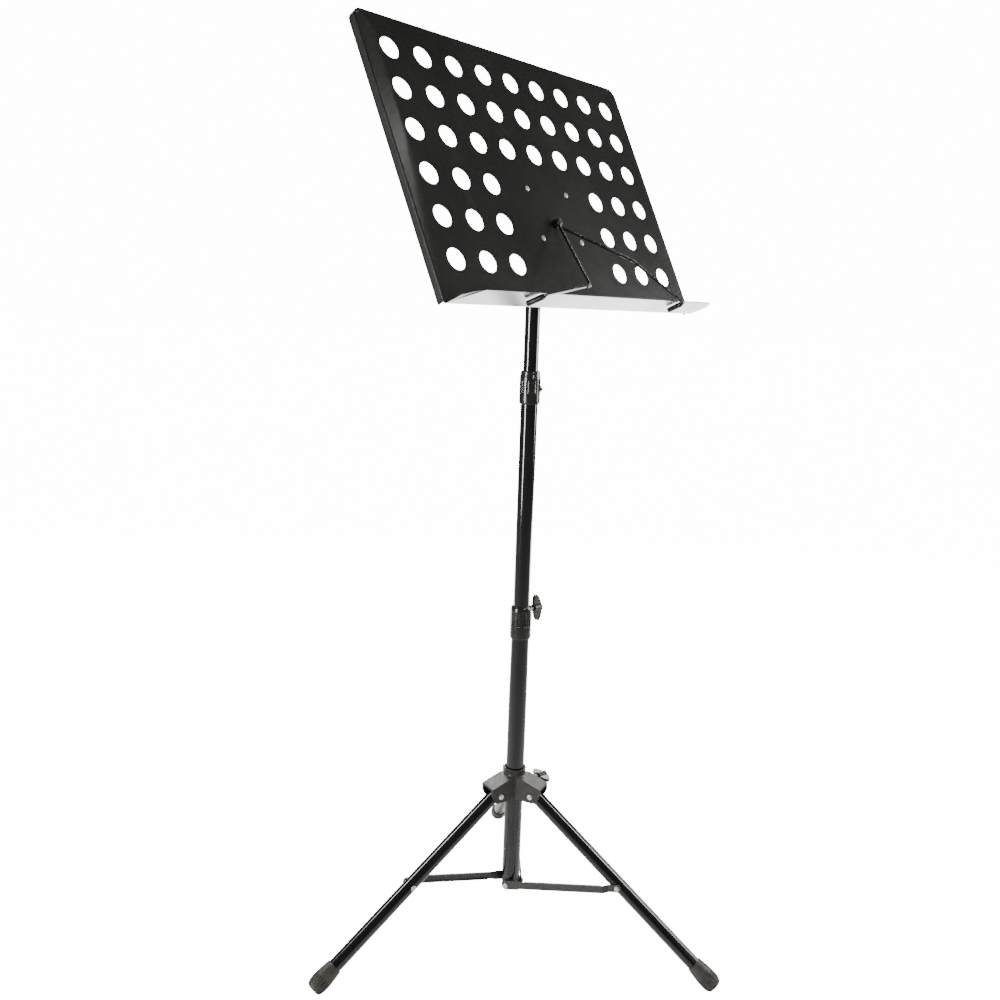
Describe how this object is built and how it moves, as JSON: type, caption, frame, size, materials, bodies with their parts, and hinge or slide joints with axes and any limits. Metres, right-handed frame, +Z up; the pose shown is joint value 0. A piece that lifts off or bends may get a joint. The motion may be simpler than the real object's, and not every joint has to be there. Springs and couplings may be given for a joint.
{
  "type": "music stand",
  "caption": "Folding music stand with a perforated sheet-metal desk, swinging page arms, a telescoping mast and a tripod base.",
  "frame": {"origin": "on the floor, under the axis of the mast", "axes": "+Z up along the mast, +Y from the mast towards the rear leg, +X to the right seen from the front"},
  "size_m": [0.5252, 0.5468, 1.1625],
  "materials": {
    "black_coat": "satin black powder coat",
    "black_gloss": "glossy black enamel",
    "clutch_plastic": "glossy black moulded plastic",
    "knob_plastic": "satin black moulded plastic",
    "hub_plastic": "dark warm grey, fine-grained",
    "bush_plastic": "plain black plastic",
    "bright_steel": "nickel-plated steel",
    "screw_steel": "zinc-plated steel",
    "foot_rubber": "dark grey rubber",
    "sleeve_rubber": "black vinyl"
  },
  "bodies": {
    "base": {"lower_tube": "black_gloss", "tube_end_block": "hub_plastic", "middle_clutch_body": "clutch_plastic", "middle_clutch_bush": "bush_plastic", "strut_base_rivets": "bright_steel"},
    "hub": {"hub_body": "hub_plastic", "hub_bush": "bush_plastic", "leg_pivot_pins": "bright_steel"},
    "hub_screw": {"hub_knob": "knob_plastic", "hub_knob_screw": "screw_steel"},
    "middle_stage": {"middle_tube": "black_gloss", "middle_tube_glide": "bush_plastic", "upper_clutch_body": "clutch_plastic", "upper_clutch_bush": "bush_plastic"},
    "middle_screw": {"middle_knob": "knob_plastic", "middle_knob_screw": "screw_steel"},
    "upper_screw": {"upper_knob": "knob_plastic", "upper_knob_screw": "screw_steel"},
    "top_stage": {"top_rod": "black_gloss", "top_rod_glide": "bush_plastic"},
    "head": {"tilt_head": "clutch_plastic"},
    "desk": {"desk_plate": "black_coat", "desk_rim": "black_coat", "desk_shelf": "black_coat", "desk_bracket": "black_coat", "desk_rivets": "bright_steel", "page_arm_stud": "bright_steel", "tilt_bolt": "screw_steel", "tilt_washers": "screw_steel"},
    "tilt_nut": {"tilt_wing_nut": "knob_plastic"},
    "right_arm": {"right_page_arm": "black_gloss", "right_arm_sleeve": "sleeve_rubber"},
    "left_arm": {"left_page_arm": "black_gloss", "left_arm_sleeve": "sleeve_rubber"},
    "rear_leg": {"rear_leg_tube": "black_gloss", "rear_foot": "foot_rubber", "rear_leg_rivet": "bright_steel"},
    "rear_link": {"rear_strut": "black_coat", "rear_strut_rivet": "bright_steel"},
    "right_leg": {"right_leg_tube": "black_gloss", "right_foot": "foot_rubber", "right_leg_rivet": "bright_steel"},
    "right_link": {"right_strut": "black_coat", "right_strut_rivet": "bright_steel"},
    "left_leg": {"left_leg_tube": "black_gloss", "left_foot": "foot_rubber", "left_leg_rivet": "bright_steel"},
    "left_link": {"left_strut": "black_coat", "left_strut_rivet": "bright_steel"}
  },
  "joints": [
    {"name": "hub_slide", "type": "slide", "parent": "base", "child": "hub", "axis": [0, 0, 1], "range_m": [0, 0.176]},
    {"name": "rear_leg_fold", "type": "hinge", "parent": "hub", "child": "rear_leg", "pos_m": [0, 0.03, 0.2034], "axis": [-1, 0, 0], "range_deg": [0, 43.93]},
    {"name": "rear_strut_fold", "type": "hinge", "parent": "base", "child": "rear_link", "pos_m": [0, 0, 0.064], "axis": [1, 0, 0], "range_deg": [0, 55.17]},
    {"name": "right_leg_fold", "type": "hinge", "parent": "hub", "child": "right_leg", "pos_m": [0.02598, -0.015, 0.2034], "axis": [0.5, 0.866, 0], "range_deg": [0, 43.93]},
    {"name": "right_strut_fold", "type": "hinge", "parent": "base", "child": "right_link", "pos_m": [0, 0, 0.064], "axis": [-0.5, -0.866, 0], "range_deg": [0, 55.17]},
    {"name": "left_leg_fold", "type": "hinge", "parent": "hub", "child": "left_leg", "pos_m": [-0.02598, -0.015, 0.2034], "axis": [0.5, -0.866, 0], "range_deg": [0, 43.93]},
    {"name": "left_strut_fold", "type": "hinge", "parent": "base", "child": "left_link", "pos_m": [0, 0, 0.064], "axis": [-0.5, 0.866, 0], "range_deg": [0, 55.17]},
    {"name": "middle_slide", "type": "slide", "parent": "base", "child": "middle_stage", "axis": [0, 0, 1], "range_m": [-0.26, 0.04]},
    {"name": "top_slide", "type": "slide", "parent": "middle_stage", "child": "top_stage", "axis": [0, 0, 1], "range_m": [-0.12, 0.12]},
    {"name": "head_swivel", "type": "hinge", "parent": "top_stage", "child": "head", "pos_m": [0, 0, 0.92], "axis": [0, 0, 1], "continuous": true},
    {"name": "desk_tilt", "type": "hinge", "parent": "head", "child": "desk", "pos_m": [0, 0, 0.95], "axis": [-0.7071, -0.7071, 0], "range_deg": [-15, 54]},
    {"name": "hub_screw_turn", "type": "hinge", "parent": "hub", "child": "hub_screw", "pos_m": [0.03984, 0.023, 0.2114], "axis": [0.866, 0.5, 0], "range_deg": [0, 720]},
    {"name": "middle_screw_turn", "type": "hinge", "parent": "base", "child": "middle_screw", "pos_m": [0.02298, 0.01928, 0.4575], "axis": [0.766, 0.6428, 0], "range_deg": [0, 720]},
    {"name": "upper_screw_turn", "type": "hinge", "parent": "middle_stage", "child": "upper_screw", "pos_m": [0.00677, 0.02717, 0.7625], "axis": [0.2419, 0.9703, 0], "range_deg": [0, 720]},
    {"name": "tilt_nut_turn", "type": "hinge", "parent": "desk", "child": "tilt_nut", "pos_m": [0.01061, 0.01061, 0.95], "axis": [0.7071, 0.7071, 0], "range_deg": [0, 720]},
    {"name": "right_arm_swing", "type": "hinge", "parent": "desk", "child": "right_arm", "pos_m": [0.02134, -0.02983, 0.95429], "axis": [-0.6355, 0.6355, -0.4384], "range_deg": [0, 36]},
    {"name": "left_arm_swing", "type": "hinge", "parent": "desk", "child": "left_arm", "pos_m": [0.02375, -0.03224, 0.95596], "axis": [0.6355, -0.6355, 0.4384], "range_deg": [0, 15]}
  ],
  "couplings": [
    {"joint": "rear_leg_fold", "follows": "hub_slide", "rad_per_m": 4.3564},
    {"joint": "rear_strut_fold", "follows": "hub_slide", "rad_per_m": 5.4706},
    {"joint": "right_leg_fold", "follows": "hub_slide", "rad_per_m": 4.3564},
    {"joint": "right_strut_fold", "follows": "hub_slide", "rad_per_m": 5.4706},
    {"joint": "left_leg_fold", "follows": "hub_slide", "rad_per_m": 4.3564},
    {"joint": "left_strut_fold", "follows": "hub_slide", "rad_per_m": 5.4706}
  ]
}
